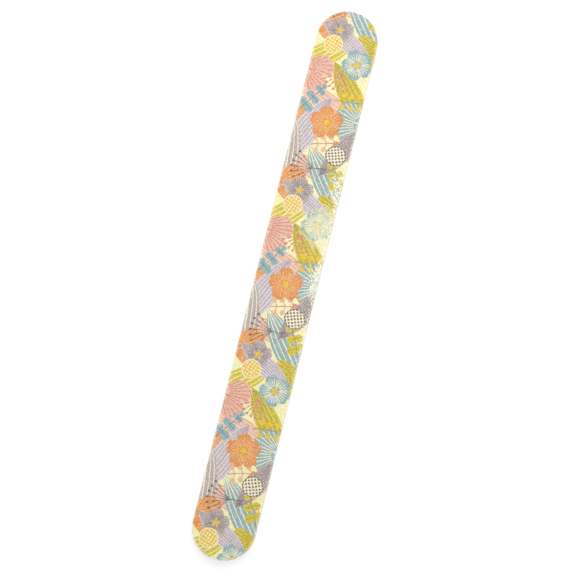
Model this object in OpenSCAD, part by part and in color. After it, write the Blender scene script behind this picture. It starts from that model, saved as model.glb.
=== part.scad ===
// Cushioned emery board: a stiff plastic core between two foam pads, with an abrasive sheet on each face.
// The board lies flat on its back face, with its length along X and its origin at the middle of that face.

/* [Board] */
// Length of the board over its round ends
board_l = 180; // [120:1:240]
// Width of the board, which is also the diameter of its round ends
board_w = 20; // [14:0.5:30]

/* [Core] */
// Thickness of the stiff plastic core plate
core_t = 1.0; // [0.6:0.1:2]
// Radius of the burr-free corner that the cutting die leaves round the core plate
core_corner_r = 0.1; // [0.05:0.05:0.25]

/* [Foam] */
// Thickness of each foam pad
foam_t = 1.0; // [0.5:0.1:3]
// Depth to which the cut edge of a foam pad draws in at its middle
foam_waist = 0.12; // [0.04:0.02:0.2]

/* [Adhesive] */
// Thickness of the film that bonds a foam pad to the core plate
core_film_t = 0.08; // [0.04:0.01:0.2]
// Thickness of the film that bonds an abrasive sheet to its foam pad
paper_film_t = 0.08; // [0.04:0.01:0.2]
// Set-back of every adhesive film from the cut edge
film_setback = 0.1; // [0.05:0.05:0.5]

/* [Abrasive sheet] */
// Thickness of the backing paper
paper_t = 0.17; // [0.1:0.01:0.4]
// Thickness of the coat of resin and grit on the paper
grit_t = 0.17; // [0.1:0.01:0.5]
// Radius of the rubbed rim round each grit coat
grit_rim_r = 0.1; // [0.04:0.01:0.3]

/* [Hidden] */
$fn = 96;

end_r = board_w / 2;
straight_l = board_l - board_w;

// Heights of the layers of one face, each measured from the middle of the core plate to the layer's inner side
core_film_z = core_t / 2;
foam_z = core_film_z + core_film_t;
paper_film_z = foam_z + foam_t;
paper_z = paper_film_z + paper_film_t;
grit_z = paper_z + paper_t;
half_t = grit_z + grit_t;

// Radius of the shallow arc that cuts foam_waist deep into an edge foam_t high
waist_arc_r = (pow(foam_t / 2, 2) + pow(foam_waist, 2)) / (2 * foam_waist);
// A rim is never rounder than its coat is thick, and a core corner never takes half the plate
rim_r = min(grit_rim_r, grit_t);
corner_r = min(core_corner_r, core_t / 2.5);

// Sweeps a half profile, drawn outwards from the long centre line, round the whole outline of the board
module sweep_round_board() {
    rotate([90, 0, 90])
        linear_extrude(straight_l, center = true) {
            children();
            mirror([1, 0]) children();
        }
    for (turn = [0, 180])
        rotate(turn)
            translate([straight_l / 2, 0, 0])
                rotate(-90)
                    rotate_extrude(angle = 180)
                        children();
}

// Half profile of a layer with a square edge, set back from the cut edge
module square_edge(thickness, setback = 0) {
    square([end_r - setback, thickness]);
}

// Half profile of a layer whose outer corner is rounded to radius r
module rounded_edge(thickness, r) {
    square([end_r - r, thickness]);
    square([end_r, thickness - r]);
    translate([end_r - r, thickness - r])
        intersection() {
            circle(r);
            square(r);
        }
}

// Half profile of a layer whose edge is drawn in by a shallow arc
module waisted_edge(thickness, depth, arc_r) {
    difference() {
        square([end_r, thickness]);
        translate([end_r - depth + arc_r, thickness / 2])
            circle(arc_r, $fn = 180);
    }
}

// Puts a layer at its height on the front face, or mirrored on the back face
module on_front(z) {
    translate([0, 0, half_t + z]) children();
}

module on_back(z) {
    translate([0, 0, half_t - z]) mirror([0, 0, 1]) children();
}

// Stiff white polystyrene plate, with both corners of its edge rounded
module core_plate() {
    color("white")
        for (half = [0, 1])
            translate([0, 0, half_t])
                mirror([0, 0, half])
                    sweep_round_board() rounded_edge(core_t / 2, corner_r);
}

// Clear double-sided film
module adhesive_film(thickness) {
    color("wheat", 0.6)
        sweep_round_board() square_edge(thickness, film_setback);
}

// Soft cream foam that lets the board follow the nail
module foam_pad() {
    color("cornsilk")
        sweep_round_board() waisted_edge(foam_t, foam_waist, waist_arc_r);
}

// Tough backing paper that carries the grit
module backing_paper() {
    color("ivory")
        sweep_round_board() square_edge(paper_t);
}

// Grit bonded in resin, with the pale yellow ground of the print
module grit_coat() {
    color([0.93, 0.91, 0.70])
        sweep_round_board() rounded_edge(grit_t, rim_r);
}

core_plate();

on_front(core_film_z) adhesive_film(core_film_t);  // front_core_film
on_front(foam_z) foam_pad();  // front_foam_pad
on_front(paper_film_z) adhesive_film(paper_film_t);  // front_paper_film
on_front(paper_z) backing_paper();  // front_backing_paper
on_front(grit_z) grit_coat();  // front_grit_coat

on_back(core_film_z) adhesive_film(core_film_t);  // back_core_film
on_back(foam_z) foam_pad();  // back_foam_pad
on_back(paper_film_z) adhesive_film(paper_film_t);  // back_paper_film
on_back(paper_z) backing_paper();  // back_backing_paper
on_back(grit_z) grit_coat();  // back_grit_coat
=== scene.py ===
# Emery board with a foam cushion under each printed grit face, dressed over its CAD frame.
# Sizes in the dictionaries are millimetres, and the frame gives every outer size.
import math
import random

import bpy
from mathutils import Matrix, Vector, noise
from mathutils.geometry import delaunay_2d_cdt


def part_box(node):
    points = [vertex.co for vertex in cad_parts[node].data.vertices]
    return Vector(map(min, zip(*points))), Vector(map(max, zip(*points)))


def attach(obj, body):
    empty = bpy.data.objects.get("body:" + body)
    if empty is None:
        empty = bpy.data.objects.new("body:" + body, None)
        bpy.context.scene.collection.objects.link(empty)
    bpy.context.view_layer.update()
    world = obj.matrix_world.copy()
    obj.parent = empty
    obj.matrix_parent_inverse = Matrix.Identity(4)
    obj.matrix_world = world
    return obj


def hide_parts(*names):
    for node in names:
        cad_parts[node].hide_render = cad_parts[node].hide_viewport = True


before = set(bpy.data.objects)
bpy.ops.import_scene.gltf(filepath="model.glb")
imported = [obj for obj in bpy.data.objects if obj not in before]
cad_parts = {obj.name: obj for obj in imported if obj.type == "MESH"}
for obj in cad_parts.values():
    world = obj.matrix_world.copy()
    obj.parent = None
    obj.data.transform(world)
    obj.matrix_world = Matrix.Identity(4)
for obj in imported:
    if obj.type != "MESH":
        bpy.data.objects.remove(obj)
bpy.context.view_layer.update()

mm = 0.001
halfLength, halfWidth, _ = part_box("core_plate")[1] / mm
straightHalf = halfLength - halfWidth  # the ends beyond it are half circles
outlineRun = 4 * straightHalf + 2 * math.pi * halfWidth
print(f"frame loaded: {len(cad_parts)} solids, board {2 * halfLength:.0f} x {2 * halfWidth:.0f} mm")


# Outline of the board

def spineAndOutward(run):
    # starts at the -X tip and goes round by the -Y side, so points n and -n mirror each other
    run = (run - math.pi * halfWidth / 2) % outlineRun
    side = 2 * straightHalf
    turn = math.pi * halfWidth
    if run < side:
        return Vector((run - straightHalf, 0)), Vector((0, -1))
    run -= side
    if run < turn:
        angle = run / halfWidth - math.pi / 2
        return Vector((straightHalf, 0)), Vector((math.cos(angle), math.sin(angle)))
    run -= turn
    if run < side:
        return Vector((straightHalf - run, 0)), Vector((0, 1))
    angle = (run - side) / halfWidth + math.pi / 2
    return Vector((-straightHalf, 0)), Vector((math.cos(angle), math.sin(angle)))


def ringPoint(run, inset):
    spine, outward = spineAndOutward(run)
    return spine + outward * (halfWidth - inset)


def insetOf(x, y):
    return halfWidth - math.hypot(max(abs(x) - straightHalf, 0), y)


def runOf(x, y):
    # how far round the outline a point lies, from the start of the -Y side
    side = 2 * straightHalf
    turn = math.pi * halfWidth
    if abs(x) <= straightHalf:
        return x + straightHalf if y < 0 else side + turn + straightHalf - x
    if x > 0:
        return side + halfWidth * (math.atan2(y, x - straightHalf) + math.pi / 2)
    return 2 * side + turn + halfWidth * (math.atan2(y, x + straightHalf) % (2 * math.pi) - math.pi / 2)


def ringBand(lower, upper, count):
    return [(lower + i, lower + (i + 1) % count, upper + (i + 1) % count, upper + i) for i in range(count)]


def ringCap(start, count):
    # rungs across the board between mirrored ring points, facing +Z
    rungs = range(1, count // 2 - 1)
    faces = [(start + i, start + i + 1, start + count - i - 1, start + count - i) for i in rungs]
    faces.append((start, start + 1, start + count - 1))
    middle = count // 2
    faces.append((start + middle - 1, start + middle, start + middle + 1))
    return faces


def turnedOver(faces):
    return [tuple(reversed(face)) for face in faces]


def addPiece(name, points, faces, material, node):
    mesh = bpy.data.meshes.new(name)
    mesh.from_pydata([Vector(point) * mm for point in points], [], faces)
    mesh.materials.append(material)
    mesh.update()
    piece = bpy.data.objects.new(name, mesh)
    bpy.context.scene.collection.objects.link(piece)
    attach(piece, "root")
    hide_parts(node)
    return piece


# Colour maps: faces lie in rows, so that baked colours keep the fine lines of the print

def layRows(piece, rows, hiddenZ):
    # rows of the outer face come first, then those of the cut edge, and last the two hidden flat faces
    length = rows["length"]
    gap = rows["gap"]
    faceStep = 2 * halfWidth + gap
    edgeStep = rows["edgeHeight"] + gap
    edgeStart = rows["faceRows"] * faceStep
    hiddenStart = edgeStart + math.ceil(outlineRun / length) * edgeStep
    hiddenStep = 1 + gap
    total = hiddenStart + 2 * hiddenStep
    flat = 0.0001  # slope below which a face counts as a hidden flat one
    vertices = [vertex.co / mm for vertex in piece.data.vertices]
    places = []
    for face in piece.data.polygons:
        corners = [vertices[i] for i in face.vertices]
        middle = face.center / mm
        flip = 1 if face.normal.z > 0 else -1
        if max(c.z for c in corners) - min(c.z for c in corners) < flat:
            start = hiddenStart + (flip + 1) / 2 * hiddenStep + 0.5
            shrink = length / halfLength / 2
            spots = [((c.x + halfLength) * shrink, start + flip * c.y / rows["squash"]) for c in corners]
        elif insetOf(middle.x, middle.y) < rows["edgeDepth"]:
            run = runOf(middle.x, middle.y)
            row = int(run / length)
            spots = []
            for c in corners:
                ahead = (runOf(c.x, c.y) - run + outlineRun / 2) % outlineRun - outlineRun / 2
                rise = (abs(c.z - hiddenZ) + rows["lean"] * insetOf(c.x, c.y)) * rows["edgeStretch"]
                spots.append((run - row * length + ahead, edgeStart + row * edgeStep + rise))
        else:
            row = int((middle.x + halfLength) / length)
            start = row * faceStep + halfWidth
            spots = [(c.x + halfLength - row * length, start + flip * c.y) for c in corners]
        for along, up in spots:
            places += [(along + gap / 2) / (length + gap), (up + gap / 2) / total]
    piece.data.uv_layers.new(name="OFBake").uv.foreach_set("vector", places)


# Shader maths

class Wire:
    # one output socket, on which shader maths is written as a plain expression
    def __init__(self, sheet, socket):
        self.sheet = sheet
        self.socket = socket

    def maths(self, operation, *others, clamp=False):
        return self.sheet.maths(operation, self, *others, clamp=clamp)

    def __add__(self, other):
        return self.maths("ADD", other)

    def __radd__(self, other):
        return self.maths("ADD", other)

    def __sub__(self, other):
        return self.maths("SUBTRACT", other)

    def __rsub__(self, other):
        return self.sheet.maths("SUBTRACT", other, self)

    def __mul__(self, other):
        return self.maths("MULTIPLY", other)

    def __rmul__(self, other):
        return self.maths("MULTIPLY", other)

    def __truediv__(self, other):
        return self.maths("DIVIDE", other)

    def __pow__(self, other):
        return self.maths("POWER", other)

    def __abs__(self):
        return self.maths("ABSOLUTE")

    def least(self, other):
        return self.maths("MINIMUM", other)

    def most(self, other):
        return self.maths("MAXIMUM", other)

    def wrap(self, reach):
        # repeats from -reach to reach
        return self.maths("WRAP", reach, -reach)

    def cosine(self):
        return self.maths("COSINE")

    def clamped(self):
        return self.maths("ADD", 0.0, clamp=True)

    def crisp(self, softness=0.07):
        # a depth in mm inside a shape becomes 0 outside and 1 inside
        return self.maths("MULTIPLY_ADD", 1 / softness, 0.5, clamp=True)

    def other(self, output):
        # another output of the same node
        return Wire(self.sheet, self.socket.node.outputs[output])


class Sheet:
    # the node tree of a material, a world or a group
    def __init__(self, owner):
        self.owner = owner
        self.tree = owner
        if not isinstance(owner, bpy.types.NodeTree):
            owner.use_nodes = True
            self.tree = owner.node_tree
        self.tree.nodes.clear()

    def node(self, kind, settings=None, sockets=None):
        # the settings go first, because they decide which sockets there are
        made = self.tree.nodes.new(kind)
        count = len(self.tree.nodes) - 1
        made.location = (count // 8 * 200, -(count % 8) * 220)  # in columns of eight
        for name, value in (settings or {}).items():
            setattr(made, name, value)
        for key, value in (sockets or {}).items():
            if isinstance(value, Wire):
                self.tree.links.new(value.socket, made.inputs[key])
            else:
                made.inputs[key].default_value = value
        return Wire(self, made.outputs[0]) if made.outputs else made

    def maths(self, operation, *values, clamp=False):
        settings = {"operation": operation, "use_clamp": clamp}
        return self.node("ShaderNodeMath", settings, dict(enumerate(values)))

    def mix(self, factor, under, over, blend="MIX"):
        # sockets 6 and 7 and output 2 are the ones for colours
        settings = {"data_type": "RGBA", "blend_type": blend, "clamp_result": True}
        return self.node("ShaderNodeMix", settings, {0: factor, 6: under, 7: over}).other(2)

    def millimetres(self):
        place = self.node("ShaderNodeTexCoord").other("Object")
        return self.node("ShaderNodeVectorMath", {"operation": "SCALE"}, {0: place, "Scale": 1 / mm})

    def stretched(self, place, scale):
        return self.node("ShaderNodeMapping", {}, {"Vector": place, "Scale": scale})

    def cloud(self, place, scale, detail=2.0):
        # a soft noise from 0 to 1, with scale features to the millimetre
        return self.node("ShaderNodeTexNoise", {}, {"Vector": place, "Scale": scale, "Detail": detail})

    def bumped(self, height, strength, depth):
        sockets = {"Height": height, "Strength": strength, "Distance": depth * mm}
        return self.node("ShaderNodeBump", {}, sockets)

    def inView(self):
        # 1 for rays that look at the background, 0 for the light that it throws on the board
        path = self.node("ShaderNodeLightPath")
        seen = path.other("Is Camera Ray").most(path.other("Is Glossy Ray"))
        return seen.most(path.other("Is Transmission Ray"))

    def surface(self, sockets):
        shader = self.node("ShaderNodeBsdfPrincipled", {}, sockets)
        self.node("ShaderNodeOutputMaterial", {}, {"Surface": shader})
        return self.owner


def colour(red, green, blue):
    # screen colour, 0 to 255, as the linear colour that a shader takes
    parts = [part / 255 for part in (red, green, blue)]
    return [part / 12.92 if part <= 0.04045 else ((part + 0.055) / 1.055) ** 2.4 for part in parts] + [1.0]


# Print: an all-over pattern of blades, fans, blossoms, sprigs and seed heads, repeated along the sheet

inks = {
    "ground": colour(253, 247, 190),
    "cream": colour(253, 243, 208),
    "orange": colour(232, 150, 80),
    "apricot": colour(243, 188, 124),
    "olive": colour(218, 198, 52),
    "moss": colour(176, 160, 52),
    "teal": colour(152, 182, 185),
    "deepTeal": colour(106, 148, 154),
    "salmon": colour(241, 188, 168),
    "blush": colour(253, 220, 196),
    "rose": colour(212, 140, 122),
    "mauve": colour(192, 178, 175),
    "plum": colour(146, 130, 131),
    "lilac": colour(223, 212, 214),
    "haze": colour(182, 168, 175),
    "yellow": colour(240, 198, 44),
    "umber": colour(120, 108, 106),
}

sheetPrint = {
    "repeat": 54.0,  # along the board
    "wobble": 0.5,  # how far a drawn line strays
    "motifs": [
        {"kind": "blade", "x": -17, "y": 1, "turn": 80, "size": 11, "body": "salmon", "line": "blush"},
        {"kind": "blade", "x": 5, "y": 2, "turn": 70, "size": 11, "body": "salmon", "line": "blush"},
        {"kind": "fan", "x": -10, "y": -12, "turn": 62, "size": 9, "body": "orange", "line": "apricot"},
        {"kind": "blade", "x": -21, "y": -5, "turn": 38, "size": 13.5, "body": "teal", "line": "cream"},
        {"kind": "fan", "x": -1, "y": 12.5, "turn": -100, "size": 7.5, "body": "orange", "line": "apricot"},
        {"kind": "ribbed", "x": -6, "y": 6, "turn": -24, "size": 14, "body": "lilac", "line": "haze"},
        {"kind": "blade", "x": 8.5, "y": -5.5, "turn": 38, "size": 12.5, "body": "olive", "line": "moss"},
        {"kind": "blade", "x": 20, "y": 6, "turn": -50, "size": 12.5, "body": "olive", "line": "ground"},
        {"kind": "blade", "x": -14, "y": 9.5, "turn": 6, "size": 12.5, "body": "mauve", "line": "cream"},
        {"kind": "fan", "x": 15, "y": 12, "turn": -105, "size": 10.5, "body": "salmon", "line": "rose"},
        {"kind": "fan", "x": -25, "y": 11, "turn": -75, "size": 10.5, "body": "orange", "line": "apricot"},
        {"kind": "fan", "x": 0, "y": -12, "turn": 80, "size": 10.5, "body": "teal", "line": "cream"},
        {"kind": "fan", "x": 25, "y": -12, "turn": 110, "size": 10.5, "body": "olive", "line": "moss"},
        {"kind": "ribbed", "x": -10, "y": -7, "turn": -30, "size": 10.5, "body": "mauve", "line": "plum"},
        {"kind": "ribbed", "x": 26, "y": 0, "turn": 60, "size": 10.5, "body": "lilac", "line": "haze"},
        {"kind": "sprig", "x": -22, "y": -9, "turn": 25, "size": 12, "body": "olive", "line": "moss"},
        {"kind": "sprig", "x": 1.5, "y": 9, "turn": -35, "size": 10, "body": "teal", "line": "deepTeal"},
        {"kind": "umbel", "x": 15.5, "y": -1, "turn": 165, "size": 6, "body": "rose", "line": "rose"},
        {"kind": "umbel", "x": -17, "y": 0.5, "turn": 96, "size": 7, "body": "umber", "line": "umber"},
        {"kind": "berry", "x": -7.5, "y": -4.5, "turn": 105, "size": 7, "body": "salmon", "line": "rose"},
        {"kind": "blossom", "x": -1.5, "y": 0, "turn": 10, "size": 5.6, "body": "orange", "line": "apricot"},
        {"kind": "blossom", "x": 19, "y": -5, "turn": 30, "size": 5.2, "body": "teal", "line": "cream"},
        {"kind": "blossom", "x": -25, "y": 3, "turn": 0, "size": 4.6, "body": "mauve", "line": "plum"},
        {"kind": "disc", "x": -11.5, "y": -5.5, "turn": 20, "size": 3.4, "body": "cream", "line": "umber"},
        {"kind": "disc", "x": 24, "y": 4, "turn": -20, "size": 3.2, "body": "yellow", "line": "cream"},
        {"kind": "berry", "x": 7, "y": -10, "turn": 95, "size": 8, "body": "yellow", "line": "moss"},
    ],
}


def reachOf(u, v):
    return (u * u + v * v) ** 0.5


# Motifs: each shape gives the depth in mm inside every part of it, and the ink of that part. A number by
# itself is half the width of a drawn line, and one that multiplies the size is a share of the motif.


def bladeShape(u, v, size, pitch=0.19):
    # a smooth blade with veins that follow its outline from end to end
    half = 0.31 * size * (1 - (u / size) * (u / size)).most(0) ** 0.8 - 0.1
    veins = 0.14 - abs((v / half.most(0.01)).wrap(pitch)) * half
    rib = 0.2 - abs(v)
    body = half - abs(v)
    return [(body, "body"), (veins.least(body - 0.25).most(rib.least(body)), "line")]


def ribbedShape(u, v, size):
    # the same blade with closer veins
    return bladeShape(u, v, size, 0.125)


def fanShape(u, v, size):
    # a notched fan on a short stalk
    reach = reachOf(u, v)
    angle = abs(v.maths("ARCTAN2", u))
    rim = size * (0.97 - 0.4 * (angle / 1.05) ** 4 + 0.025 * (angle * 15).cosine())
    notch = (0.1 - angle).most(0) * 3.2 * size
    body = rim - notch - reach
    ribs = (0.14 - abs(angle.wrap(0.08)) * reach).least(body - 0.35).least(reach - 0.32 * size)
    stalk = (0.22 - abs(v)).least(0.34 * size - abs(u))
    return [(body, "body"), (ribs.most(stalk), "line")]


def blossomShape(u, v, size):
    # five notched petals round a dotted heart
    petals = 5
    reach = reachOf(u, v)
    angle = v.maths("ARCTAN2", u).wrap(math.pi / petals)
    along = reach * angle.cosine()
    across = abs(reach * angle.maths("SINE"))
    notch = reachOf(along - 1.08 * size, across) - 0.16 * size
    petal = 0.42 * size - reachOf(along - 0.58 * size, across)
    body = petal.most(0.3 * size - reach).least(notch)
    strokes = (0.12 - abs(angle.wrap(0.12)) * reach).least(0.22 * size - abs(reach - 0.52 * size))
    edge = (0.11 - (math.pi / petals - abs(angle)) * reach).least(body)
    heart = 0.17 * size - reach
    stamens = 0.26 - reachOf(reach - 0.29 * size, across)
    return [(body, "body"), (strokes.most(edge), "line"), (heart.most(stamens), "heart")]


def sprigShape(u, v, size):
    # round leaves in pairs along a stem
    pitch = 3.3
    stage = (u - pitch / 2).wrap(pitch / 2)
    leaf = 1.62 * (1 - 0.5 * (u / size).clamped())
    pair = (leaf - reachOf(stage, abs(v) - leaf)).least(u).least(size - u)
    tip = 0.8 - reachOf(u - size, v)
    stem = (0.17 - abs(v)).least(u + 2).least(size - u)
    veins = (0.12 - abs(stage)).least(pair - 0.25)
    return [(pair.most(tip), "body"), (veins.most(stem), "line")]


def berryShape(u, v, size):
    # berries in pairs on slanting stalks
    pitch = 2.6
    stage = (u - pitch / 2).wrap(pitch / 2)
    inLength = u.least(size - u)
    berries = (0.85 - reachOf(stage, abs(v) - 2)).least(inLength)
    stalks = (0.12 - abs(stage + 1 - abs(v) * 0.5)).least(2 - abs(v)).least(inLength)
    stem = (0.16 - abs(v)).least(inLength + 1)
    shine = (0.27 - reachOf(stage - 0.2, abs(v) - 2.2)).least(inLength)
    return [(stalks.most(stem), "line"), (berries, "body"), (shine, "heart")]


def umbelShape(u, v, size):
    # thin rays that open from one point, each with a bead at its end
    reach = reachOf(u, v)
    angle = v.maths("ARCTAN2", u)
    spread = (0.91 - abs(angle)) * 4
    aside = abs(angle.wrap(0.13)) * reach
    rays = (0.11 - aside).least(size - reach).least(spread)
    beads = (0.42 - reachOf(reach - size, aside)).least(spread)
    inner = (0.3 - reachOf(reach - 0.72 * size, aside)).least(spread)
    stalk = (0.15 - abs(v)).least(0.3 * size - abs(u + 0.3 * size))
    return [(rays.most(stalk), "line"), (beads.most(inner), "body")]


def discShape(u, v, size):
    # a round seed head with a grid of spots
    reach = reachOf(u, v)
    body = size - reach
    spots = 0.34 - reachOf(u.wrap(0.5), v.wrap(0.5))
    ring = 0.14 - abs(reach - size + 0.25)
    return [(body, "body"), (spots.most(ring).least(body), "line")]


def motifGroup(name, shapeOf):
    # lays one motif over the print so far, at a place, turn and size of its own
    sheet = Sheet(bpy.data.node_groups.new(name, "ShaderNodeTree"))
    face = sheet.tree.interface
    for number in ("along", "across", "x", "y", "turn", "size"):
        face.new_socket(number, in_out="INPUT", socket_type="NodeSocketFloat")
    for ink in ("shade", "body", "line", "heart"):
        face.new_socket(ink, in_out="INPUT", socket_type="NodeSocketColor")
    face.new_socket("shade", in_out="OUTPUT", socket_type="NodeSocketColor")
    given = sheet.node("NodeGroupInput")
    dx = (given.other("along") - given.other("x")).wrap(sheetPrint["repeat"] / 2)
    dy = given.other("across") - given.other("y")
    turnedX = given.other("turn").cosine()
    turnedY = given.other("turn").maths("SINE")
    u = dx * turnedX + dy * turnedY
    v = dy * turnedX - dx * turnedY
    shade = given.other("shade")
    for depth, part in shapeOf(u, v, given.other("size")):
        shade = sheet.mix(depth.crisp(), shade, given.other(part))
    sheet.node("NodeGroupOutput", {}, {"shade": shade})
    return sheet.tree


motifGroups = {
    "blade": motifGroup("bladeMotif", bladeShape),
    "ribbed": motifGroup("ribbedMotif", ribbedShape),
    "fan": motifGroup("fanMotif", fanShape),
    "blossom": motifGroup("blossomMotif", blossomShape),
    "sprig": motifGroup("sprigMotif", sprigShape),
    "berry": motifGroup("berryMotif", berryShape),
    "umbel": motifGroup("umbelMotif", umbelShape),
    "disc": motifGroup("discMotif", discShape),
}


def drawPrint(sheet, along, across):
    shade = inks["ground"]
    for motif in sheetPrint["motifs"]:
        shade = sheet.node("ShaderNodeGroup", {"node_tree": motifGroups[motif["kind"]]}, {
            "along": along,
            "across": across,
            "x": motif["x"],
            "y": motif["y"],
            "turn": math.radians(motif["turn"]),
            "size": motif["size"],
            "shade": shade,
            "body": inks[motif["body"]],
            "line": inks[motif["line"]],
            "heart": inks["yellow"],
        })
    return shade


# Grit coats: the printed grit of each face, and where nails have filed it away, which on the front also
# holds painted glare. Wear is the same sum for numbers and for wires, so that it reaches both the grains and
# their colour.

frontFace = {
    "side": 1,  # looks towards +Z
    "shift": 0,  # of the print along the board
    "seed": 11,
    # patches under a pale veil: fading of the print, and painted glare of light on the grit
    "fadeAndGlare": [
        {"x": 19, "y": -6.5, "long": 11, "wide": 9, "strength": 2.0},
    ],
    # grit worn bare of ink, and on this face also painted glare of light on the grit
    "bareAndGlare": [
        {"x": 33, "y": -9.2, "long": 10, "wide": 4, "strength": 0.9},
        {"x": 17, "y": -9.6, "long": 13, "wide": 2.6, "strength": 0.65},
        {"x": 2, "y": -8.9, "long": 8, "wide": 3.8, "strength": 0.82},
        {"x": -6, "y": -9.6, "long": 36, "wide": 2.2, "strength": 0.42},
    ],
}
backFace = {
    "side": -1,
    "shift": 21,
    "seed": 12,
    "fadeAndGlare": [{"x": -30, "y": 10, "long": 30, "wide": 3, "strength": 1.5}],
    "bareAndGlare": [{"x": -30, "y": 10.5, "long": 28, "wide": 2.6, "strength": 0.9}],
}

gritCoat = {
    "spacing": 0.215,  # between grains
    "jitter": 0.32,  # share of the spacing
    "rowPitch": 0.866,  # share of the spacing between rows
    "relief": 0.08,  # from the lowest hollow to the highest grain
    "hollowing": 1.6,  # a higher power leaves more grains near the top
    "wornRelief": 0.5,  # share of the relief that is filed off bare grains
    "wornDown": 0.015,  # how far bare grains are filed down
    "rim": [(0.1, 0.0), (0.03, 0.03), (0.0, 0.1)],  # inset and drop of each ring down the edge
    "rimRough": 0.02,  # uneven drop of those rings
    "rimGap": 0.14,  # from the rim to the first grains
    "nick": 0.025,  # how far the cut edge is broken back
    "drift": 0.35,  # this and the next four count features to the mm
    "fine": 3.4,
    "coarse": 0.9,
    "grains": 4.6,
    "glints": 1.6,
    # colour of the veil over faded print and painted glare
    "veil": colour(250, 245, 200),
    "fadeAndGlareFrom": 3.6,  # a higher one leaves less of the print under the veil of fading and painted glare
    "fadeAndGlareShare": 0.62,  # share of the print that the veil of fading and painted glare hides
    # pale grit of the bare patches, which on the front are also painted glare
    "bareAndGlareGrit": colour(255, 252, 232),
    "bareAndGlareFrom": 3.12,  # a higher one leaves less of the grit bare and painted with glare
    "rubWidth": 1.0,  # how far in from the cut edge the print is rubbed
    "rubbing": 0.4,  # share of the print that is rubbed off at the cut edge
    "tint": 0.36,  # how far the grains differ in tone, partly their ink and partly painted light and shade
    "tone": 0.662,  # of the darkest grain
    # light tip of a grain: grit that shows through the ink, with a painted glint on it
    "tip": colour(255, 248, 226),
    "glintTipSize": 0.12,
    "mapRows": {
        "length": 60.2,  # of each row
        "gap": 0.8,  # between rows
        "faceRows": 3,
        "edgeDepth": 0.12,  # faces this near the outline belong to the cut edge
        "edgeHeight": 0.65,  # of a row of the cut edge, which is laid out taller than it is
        "edgeStretch": 3,
        "lean": 0.3,  # spreads faces that look up from the edge
        "squash": 20,  # hidden faces hold no detail
    },
}


# strength of a patch of wear, which on the front also carries painted glare
def wearAndGlareIn(patch, x, y):
    dx = (x - patch["x"]) / patch["long"]
    dy = (y - patch["y"]) / patch["wide"]
    return patch["strength"] * (1 - dx * dx - dy * dy)


def wearAndGlareSum(patches, x, y):
    wornAndGlare = 0.0
    for patch in patches:
        wornAndGlare = wearAndGlareIn(patch, x, y).most(0) + wornAndGlare
    return wornAndGlare


def printedGrit(name, printed):
    sheet = Sheet(bpy.data.materials.new(name))
    place = sheet.millimetres()
    x = sheet.node("ShaderNodeSeparateXYZ", {}, {0: place})
    y = x.other("Y")
    drift = sheet.cloud(place, gritCoat["drift"], 1.0) - 0.5
    along = x + printed["shift"] + drift * sheetPrint["wobble"]
    across = y * printed["side"] + drift * sheetPrint["wobble"]
    shade = drawPrint(sheet, along, across)

    fine = sheet.cloud(place, gritCoat["fine"])
    coarse = sheet.cloud(place, gritCoat["coarse"])
    cells = sheet.node("ShaderNodeTexVoronoi", {}, {"Vector": place, "Scale": gritCoat["grains"]})
    grain = cells.other("Color")
    glints = sheet.node("ShaderNodeTexVoronoi", {}, {"Vector": place, "Scale": gritCoat["glints"]})

    # a thin pale veil, broken up by noise: faded print, and on the front also painted glare of light on the
    # grit
    fadeAndGlare = wearAndGlareSum(printed["fadeAndGlare"], x, y) + coarse * 3.6 + fine * 0.8 - gritCoat["fadeAndGlareFrom"]
    shade = sheet.mix(fadeAndGlare.crisp(0.9) * gritCoat["fadeAndGlareShare"], shade, gritCoat["veil"])

    # bare grit with flakes of ink left in it, on the front also painted glare, and a rim that is rubbed
    # paler
    rim = halfWidth - reachOf((abs(x) - straightHalf).most(0), y)
    rubbed = (gritCoat["rubWidth"] - rim).clamped()
    wornAndGlare = wearAndGlareSum(printed["bareAndGlare"], x, y)
    speckle = coarse * 0.5 + fine * 2.2 + grain * 0.8 + glints.other("Color") - gritCoat["bareAndGlareFrom"]
    bareAndGlare = (wornAndGlare + speckle - (0.5 - rim).most(0)).crisp(0.2)
    shade = sheet.mix(bareAndGlare.most(rubbed * rubbed * gritCoat["rubbing"]), shade, gritCoat["bareAndGlareGrit"])

    # every grain has a tint of its own, partly its ink and partly painted light and shade on the grain, and
    # some have a light tip, grit showing through the ink with a painted glint on it
    tone = grain * gritCoat["tint"] + fine * 0.15 + gritCoat["tone"]
    shade = sheet.mix(1.0, shade, tone, "MULTIPLY")
    glintTips = (gritCoat["glintTipSize"] + fine * 0.2 + rubbed * 0.14 + wornAndGlare * 0.12 - glints).crisp(0.16)
    shade = sheet.mix(glintTips * (0.56 + rubbed * 0.2), shade, gritCoat["tip"])

    return sheet.surface({
        "Base Color": shade,
        "Roughness": (0.75 - grain * 0.6).most(0.22),
        "Specular IOR Level": 0.35,
        "Normal": sheet.bumped(cells, 0.9, 0.05),
    })


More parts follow.
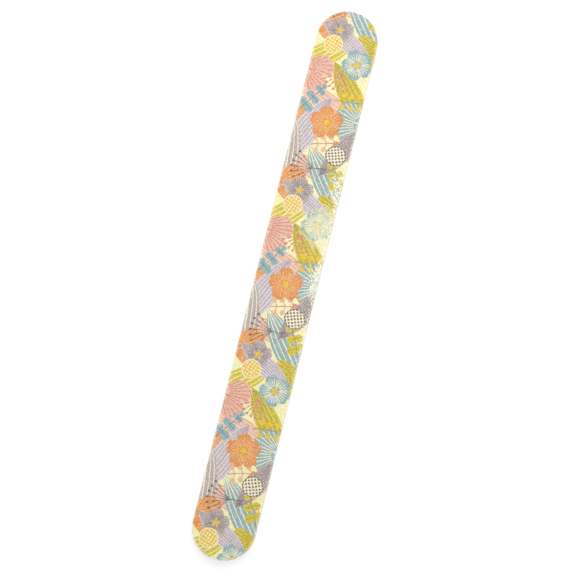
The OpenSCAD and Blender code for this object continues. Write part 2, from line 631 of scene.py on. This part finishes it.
def buildGrit(name, node, material, printed):
    # a jittered lattice of grains with a rubbed rim, over the backing paper
    rng = random.Random(printed["seed"])
    side = printed["side"]
    low, high = (corner.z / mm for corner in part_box(node))
    thickness = high - low
    outer = high if side > 0 else low
    count = 2 * round(outlineRun / gritCoat["spacing"] / 2)
    step = outlineRun / count
    nicks = [rng.random() * gritCoat["nick"] for _ in range(count)]

    points = []
    for inset, drop in gritCoat["rim"]:
        for i in range(count):
            edge = ringPoint(i * step, inset + nicks[i])
            points.append((edge.x, edge.y, -drop - rng.random() * gritCoat["rimRough"]))
    for i in range(count):
        edge = ringPoint(i * step, nicks[i])
        points.append((edge.x, edge.y, -thickness))
    rings = len(gritCoat["rim"])

    lattice = [Vector(point[:2]) for point in points[:count]]
    pitch = gritCoat["spacing"]
    rowPitch = pitch * gritCoat["rowPitch"]
    clear = gritCoat["rim"][0][0] + gritCoat["rimGap"]
    for row in range(int(2 * halfWidth / rowPitch) + 1):
        y = -halfWidth + row * rowPitch
        x = -halfLength + row % 2 * pitch / 2
        while x < halfLength:
            spot = Vector((x + rng.uniform(-1, 1) * pitch * gritCoat["jitter"],
                           y + rng.uniform(-1, 1) * pitch * gritCoat["jitter"]))
            if insetOf(*spot) > clear:
                lattice.append(spot)
            x += pitch
    insideOnly = 1
    spots, _, triangles, *_ = delaunay_2d_cdt(lattice, [], [list(range(count))], insideOnly, 1e-7)
    inner = len(points) - count  # in the triangles, the lattice comes straight after the first ring
    for spot in spots[count:]:
        wornAndGlare = min(sum(max(wearAndGlareIn(patch, spot.x, spot.y), 0) for patch in printed["bareAndGlare"]), 1)
        hollow = rng.random() ** gritCoat["hollowing"] * gritCoat["relief"]
        hollow *= 1 - gritCoat["wornRelief"] * wornAndGlare
        points.append((spot.x, spot.y, -hollow - gritCoat["wornDown"] * wornAndGlare))

    faces = []
    for triangle in triangles:
        faces.append(tuple(i if i < count else i + inner for i in triangle))
    for ring in range(rings):
        faces += turnedOver(ringBand(ring * count, (ring + 1) * count, count))
    faces += turnedOver(ringCap(rings * count, count))
    if side < 0:
        faces = turnedOver(faces)
    points = [(x, y, outer + side * z) for x, y, z in points]
    coat = addPiece(name, points, faces, material, node)
    layRows(coat, gritCoat["mapRows"], outer - side * thickness)
    return coat


frontPrint = printedGrit("frontPrint", frontFace)
backPrint = printedGrit("backPrint", backFace)
print(f"printed sheets: {len(sheetPrint['motifs'])} motifs of {len(motifGroups)} shapes")
frontGrit = buildGrit("frontGrit", "front_grit_coat", frontPrint, frontFace)
backGrit = buildGrit("backGrit", "back_grit_coat", backPrint, backFace)
print(f"grit coats: {len(frontGrit.data.polygons)} and {len(backGrit.data.polygons)} faces")


# Foam pads: a drawn-in cut edge, open with sliced cells

foamPad = {
    "spacing": 0.105,  # between points round the edge
    "rows": 11,  # from face to face
    "waist": 0.12,  # how far the edge draws in
    "cell": 0.26,  # size of a foam cell
    "reach": 0.55,  # share of a cell that its pit takes
    "pit": 0.075,  # depth of a cell that the cut opened
    "skin": 0.05,  # uncut lip at each face
    "pores": 5.5,  # to the mm
    "mottle": 1.3,  # patches to the mm
    # darker colour in the pores: painted shade in the pits of the cells
    "poreShade": colour(228, 219, 194),
    "wall": colour(251, 246, 230),
    "mapRows": {
        "length": 39,
        "gap": 0.4,
        "faceRows": 0,
        "edgeDepth": 1,
        "edgeHeight": 1.05,
        "edgeStretch": 1,
        "lean": 0.3,
        "squash": 20,
    },
}


def foamFinish():
    sheet = Sheet(bpy.data.materials.new("creamFoam"))
    place = sheet.millimetres()
    cells = sheet.node("ShaderNodeTexVoronoi", {}, {"Vector": place, "Scale": foamPad["pores"]})
    mottle = sheet.cloud(place, foamPad["mottle"])
    # pores take the darker colour, painted shade in the pits of the cells
    shade = sheet.mix(cells * 1.1, foamPad["poreShade"], foamPad["wall"])
    shade = sheet.mix(0.35, shade, mottle * 0.5 + 0.75, "MULTIPLY")
    return sheet.surface({
        "Base Color": shade,
        "Roughness": mottle * 0.2 + 0.78,
        "Specular IOR Level": 0.25,
        "Normal": sheet.bumped(cells, 0.6, 0.05),
    })


def buildFoam(name, node, material, seed):
    low, high = (corner.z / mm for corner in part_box(node))
    count = 2 * round(outlineRun / foamPad["spacing"] / 2)
    step = outlineRun / count
    rows = foamPad["rows"]
    otherCells = Vector((0, 0, seed * 7.3))  # so that the two pads differ
    points = []
    for row in range(rows):
        level = row / (rows - 1)
        bow = foamPad["waist"] * (1 - (2 * level - 1) ** 2)
        z = low + (high - low) * level
        lip = min(level, 1 - level) * (high - low) / foamPad["skin"]
        for i in range(count):
            edge = ringPoint(i * step, bow)  # before the cells open it
            distance = noise.voronoi(Vector((edge.x, edge.y, z)) / foamPad["cell"] + otherCells)[0][0]
            pit = foamPad["pit"] * max(0, 1 - distance / foamPad["reach"]) * min(lip, 1)
            edge = ringPoint(i * step, bow + pit)
            points.append((edge.x, edge.y, z))
    faces = []
    for row in range(rows - 1):
        faces += ringBand(row * count, (row + 1) * count, count)
    faces += turnedOver(ringCap(0, count)) + ringCap((rows - 1) * count, count)
    pad = addPiece(name, points, faces, material, node)
    layRows(pad, foamPad["mapRows"], low)
    return pad


creamFoam = foamFinish()
frontFoam = buildFoam("frontFoam", "front_foam_pad", creamFoam, 1)
backFoam = buildFoam("backFoam", "back_foam_pad", creamFoam, 2)
print(f"foam pads: {len(frontFoam.data.polygons)} and {len(backFoam.data.polygons)} faces")


# Backing paper, adhesive films and core plate keep their CAD solids

backingPaper = {
    "nodes": ["front_backing_paper", "back_backing_paper"],
    "shaded": colour(226, 218, 198),
    "pale": colour(250, 246, 234),
    "stain": colour(232, 220, 192),
    "staining": 0.3,  # strength of the stains
    "stains": 0.3,  # to the mm
    "fibres": 2.6,  # to the mm
    "fibreScale": (1.0, 1.0, 6.0),
}
adhesiveFilm = {
    "nodes": ["front_core_film", "front_paper_film", "back_core_film", "back_paper_film"],
    "shaded": colour(226, 216, 184),
    "pale": colour(244, 238, 216),
    "ripples": 1.8,  # to the mm
}
corePlate = {
    "nodes": ["core_plate"],
    "shaded": colour(228, 229, 226),
    "pale": colour(248, 248, 245),
    "haze": colour(236, 234, 226),
    "hazing": 0.2,  # strength of the haze
    "hazes": 0.5,  # patches to the mm
    "dieLines": 7.0,  # to the mm
    "dieLineScale": (1.0, 1.0, 0.04),  # drawn out down the cut edge
}


def paperFinish():
    sheet = Sheet(bpy.data.materials.new("backingPaper"))
    place = sheet.millimetres()
    fibres = sheet.cloud(sheet.stretched(place, backingPaper["fibreScale"]), backingPaper["fibres"], 4.0)
    stain = sheet.cloud(place, backingPaper["stains"])
    shade = sheet.mix(fibres, backingPaper["shaded"], backingPaper["pale"])
    shade = sheet.mix(stain * backingPaper["staining"], shade, backingPaper["stain"])
    return sheet.surface({
        "Base Color": shade,
        "Roughness": fibres * 0.2 + 0.72,
        "Specular IOR Level": 0.3,
        "Normal": sheet.bumped(fibres, 0.4, 0.03),
    })


def filmFinish():
    sheet = Sheet(bpy.data.materials.new("adhesiveFilm"))
    place = sheet.millimetres()
    ripple = sheet.cloud(place, adhesiveFilm["ripples"])
    shade = sheet.mix(ripple, adhesiveFilm["shaded"], adhesiveFilm["pale"])
    return sheet.surface({
        "Base Color": shade,
        "Roughness": ripple * 0.25 + 0.2,
        "Coat Weight": 0.3,
        "Normal": sheet.bumped(ripple, 0.3, 0.02),
    })


def coreFinish():
    sheet = Sheet(bpy.data.materials.new("corePlastic"))
    place = sheet.millimetres()
    dieLines = sheet.cloud(sheet.stretched(place, corePlate["dieLineScale"]), corePlate["dieLines"], 3.0)
    haze = sheet.cloud(place, corePlate["hazes"])
    shade = sheet.mix(dieLines, corePlate["shaded"], corePlate["pale"])
    shade = sheet.mix(haze * corePlate["hazing"], shade, corePlate["haze"])
    return sheet.surface({
        "Base Color": shade,
        "Roughness": dieLines * 0.25 + 0.3,
        "Normal": sheet.bumped(dieLines, 0.35, 0.03),
    })


def dress(nodes, material):
    for name in nodes:
        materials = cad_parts[name].data.materials
        materials.clear()
        materials.append(material)


dress(backingPaper["nodes"], paperFinish())
dress(adhesiveFilm["nodes"], filmFinish())
dress(corePlate["nodes"], coreFinish())
print("paper, films and core dressed")


# Studio: white floor, soft light from above and a camera at the photograph's angle

studio = {
    "floorSize": 6000,
    "floorPaper": colour(240, 240, 240),
    "floorGlow": 1.25,  # keeps the floor white in the picture and its shadow faint
    "glowShare": 0.55,  # of the floor by the board, where the rest is lit and takes the shadow
    "fadeStart": 150,  # from the middle, where the floor begins to go plain white
    "fadeLength": 350,
    "skyStrength": 0.455,
    "lampSize": 500,
    "lampPlace": (300, 10, 600),
    "lampPower": 3.3,  # watts
    "cameraAim": (-2.36, -1.02, 4.0),  # the spot in the middle of the picture
    "cameraDistance": 500,
    "cameraPitch": 7.14,  # degrees off straight down
    "cameraRoll": 14.043,
    "cameraLens": 98.9,
}


def buildFloor():
    sheet = Sheet(bpy.data.materials.new("studioFloor"))
    x = sheet.node("ShaderNodeSeparateXYZ", {}, {0: sheet.millimetres()})
    far = ((reachOf(x, x.other("Y")) - studio["fadeStart"]) / studio["fadeLength"]).clamped()
    share = studio["glowShare"] + (1 - studio["glowShare"]) * far
    paper = sheet.node("ShaderNodeBsdfDiffuse", {}, {"Color": studio["floorPaper"]})
    glow = sheet.node("ShaderNodeEmission", {}, {"Color": (1, 1, 1, 1), "Strength": studio["floorGlow"]})
    blend = sheet.node("ShaderNodeMixShader", {}, {0: sheet.inView() * share, 1: paper, 2: glow})
    sheet.node("ShaderNodeOutputMaterial", {}, {"Surface": blend})
    mesh = bpy.data.meshes.new("floor")
    half = studio["floorSize"] * mm / 2
    corners = [(-half, -half, 0), (half, -half, 0), (half, half, 0), (-half, half, 0)]
    mesh.from_pydata(corners, [], [(0, 1, 2, 3)])
    mesh.materials.append(sheet.owner)
    floor = bpy.data.objects.new("floor", mesh)
    bpy.context.scene.collection.objects.link(floor)


def buildSky():
    sky = Sheet(bpy.data.worlds.new("studioSky"))
    dim = sky.node("ShaderNodeBackground", {}, {"Color": (1, 1, 1, 1), "Strength": studio["skyStrength"]})
    white = sky.node("ShaderNodeBackground", {}, {"Color": (1, 1, 1, 1)})
    blend = sky.node("ShaderNodeMixShader", {}, {0: sky.inView(), 1: dim, 2: white})
    sky.node("ShaderNodeOutputWorld", {}, {"Surface": blend})
    bpy.context.scene.world = sky.owner


def buildLamp():
    lamp = bpy.data.lights.new("softbox", "AREA")
    lamp.shape = "SQUARE"
    lamp.size = studio["lampSize"] * mm
    lamp.energy = studio["lampPower"]
    softbox = bpy.data.objects.new("softbox", lamp)
    place = Vector(studio["lampPlace"]) * mm
    softbox.location = place  # aimed at the middle of the board
    softbox.rotation_euler = (-place).to_track_quat("-Z", "Y").to_euler()
    bpy.context.scene.collection.objects.link(softbox)


def buildCamera():
    pitch = math.radians(studio["cameraPitch"])
    roll = math.radians(studio["cameraRoll"])
    upright = Vector((math.cos(roll), math.sin(roll), 0))
    right = Vector((math.sin(roll), -math.cos(roll), 0))
    look = Vector((0, 0, -1)) * math.cos(pitch) + upright * math.sin(pitch)
    aim = Vector(studio["cameraAim"]) * mm
    turn = Matrix((right, right.cross(look), -look)).transposed()  # its right, up and back
    lens = bpy.data.cameras.new("camera")
    lens.lens = studio["cameraLens"]
    lens.sensor_width = 36
    camera = bpy.data.objects.new("camera", lens)
    camera.matrix_world = Matrix.Translation(aim - look * studio["cameraDistance"] * mm) @ turn.to_4x4()
    bpy.context.scene.collection.objects.link(camera)
    bpy.context.scene.camera = camera


buildFloor()
buildSky()
buildLamp()
buildCamera()
bpy.context.scene.view_settings.view_transform = "Standard"
print("studio ready")
